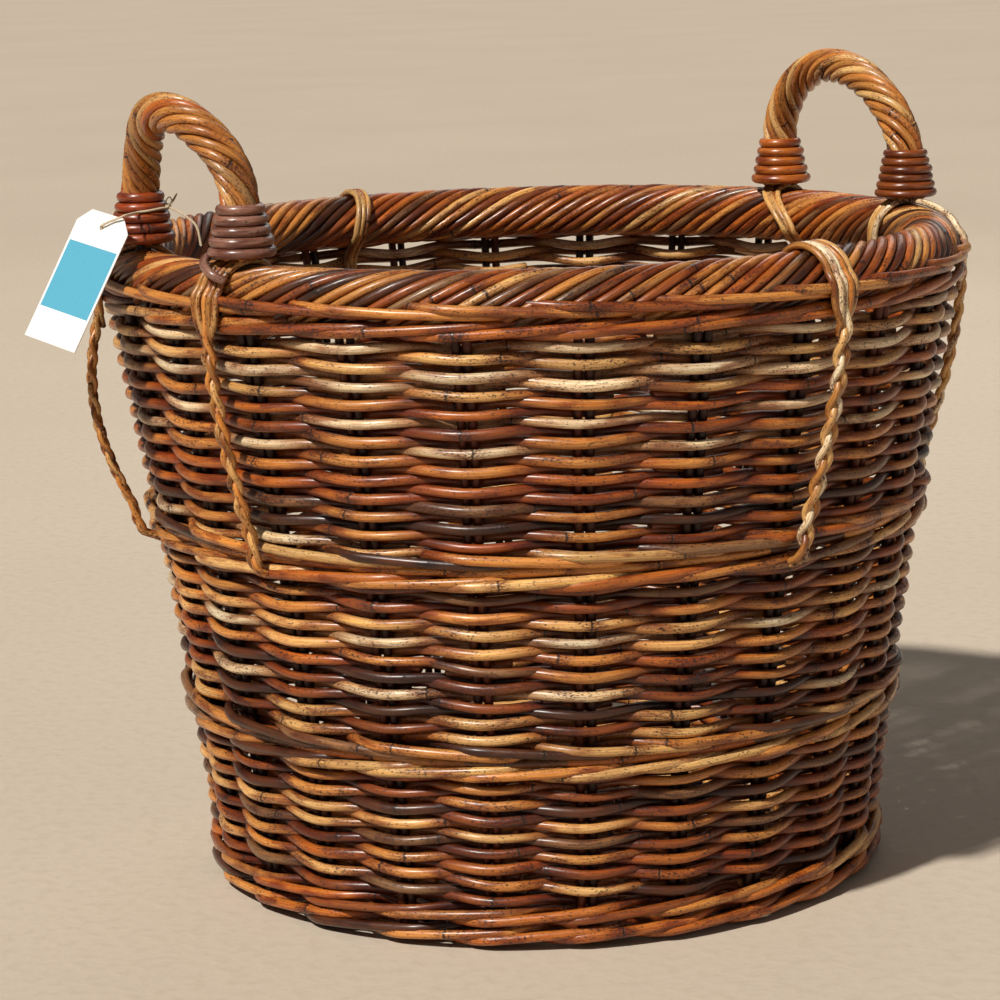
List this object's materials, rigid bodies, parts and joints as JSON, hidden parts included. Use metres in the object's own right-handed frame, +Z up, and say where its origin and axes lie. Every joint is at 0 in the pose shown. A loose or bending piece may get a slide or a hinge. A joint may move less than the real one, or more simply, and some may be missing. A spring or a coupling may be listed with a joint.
{
  "type": "wicker log basket",
  "caption": "Round open wicker log basket, woven on paired stakes, with waling bands, a rope-twist rim, arched ear handles, braided ties and a swing tag.",
  "frame": {"origin": "middle of the base's underside, on the floor the basket stands on", "axes": "+Z up through the middle of the basket; the handles stand near +X and -X, and the tag hangs on the -X side"},
  "size_m": [0.6163, 0.582, 0.5397],
  "materials": {
    "stake_rattan": "dark stained round rattan, satin",
    "stick_rattan": "thick round rattan stick, satin",
    "weave_rattan": "glossy lacquered rattan rods, mixed straw, amber and brown",
    "waling_rattan": "glossy lacquered rattan rods, long slanting strokes",
    "rope_rattan": "glossy lacquered rattan rods laid as a rope",
    "handle_rattan": "glossy lacquered rattan rods twisted round a core",
    "wrap_rattan": "dark red-brown glossy rattan binding",
    "tie_rattan": "pale split rattan strands, braided",
    "twine": "pale natural twine",
    "card": "plain white card with a plain blue panel, no lettering"
  },
  "bodies": {
    "basket": {"base_split_sticks": "stick_rattan", "base_threaded_sticks": "stick_rattan", "base_weave": "weave_rattan", "stake_pair_01": "stake_rattan", "stake_pair_02": "stake_rattan", "stake_pair_03": "stake_rattan", "stake_pair_04": "stake_rattan", "stake_pair_05": "stake_rattan", "stake_pair_06": "stake_rattan", "stake_pair_07": "stake_rattan", "stake_pair_08": "stake_rattan", "stake_pair_09": "stake_rattan", "stake_pair_10": "stake_rattan", "stake_pair_11": "stake_rattan", "stake_pair_12": "stake_rattan", "stake_pair_13": "stake_rattan", "stake_pair_14": "stake_rattan", "stake_pair_15": "stake_rattan", "stake_pair_16": "stake_rattan", "stake_pair_17": "stake_rattan", "stake_pair_18": "stake_rattan", "stake_pair_19": "stake_rattan", "stake_pair_20": "stake_rattan", "stake_pair_21": "stake_rattan", "stake_pair_22": "stake_rattan", "stake_pair_23": "stake_rattan", "stake_pair_24": "stake_rattan", "foot_waling": "waling_rattan", "lower_weave": "weave_rattan", "lower_waling": "waling_rattan", "middle_weave": "weave_rattan", "middle_waling": "waling_rattan", "upper_weave": "weave_rattan", "top_waling": "waling_rattan", "rim_rope": "rope_rattan", "rim_hoop": "stick_rattan", "left_handle_core": "stick_rattan", "left_handle_rope": "handle_rattan", "left_handle_front_wrap": "wrap_rattan", "left_handle_back_wrap": "wrap_rattan", "left_handle_front_tie": "tie_rattan", "left_handle_back_tie": "tie_rattan", "right_handle_core": "stick_rattan", "right_handle_rope": "handle_rattan", "right_handle_front_wrap": "wrap_rattan", "right_handle_back_wrap": "wrap_rattan", "right_handle_front_tie": "tie_rattan", "right_handle_back_tie": "tie_rattan", "front_side_tie": "tie_rattan", "back_side_tie": "tie_rattan"},
    "tag_string": {"tag_string": "twine"},
    "tag": {"tag": "card"}
  },
  "joints": [
    {"name": "string_turn", "type": "hinge", "parent": "basket", "child": "tag_string", "pos_m": [-0.24935, -0.09822, 0.458], "axis": [0, 0, 1], "range_deg": [-25, 0]},
    {"name": "tag_swing", "type": "hinge", "parent": "tag_string", "child": "tag", "pos_m": [-0.27159, -0.12206, 0.4528], "axis": [-0.676, 0.7257, 0.1284], "range_deg": [0, 45]}
  ]
}
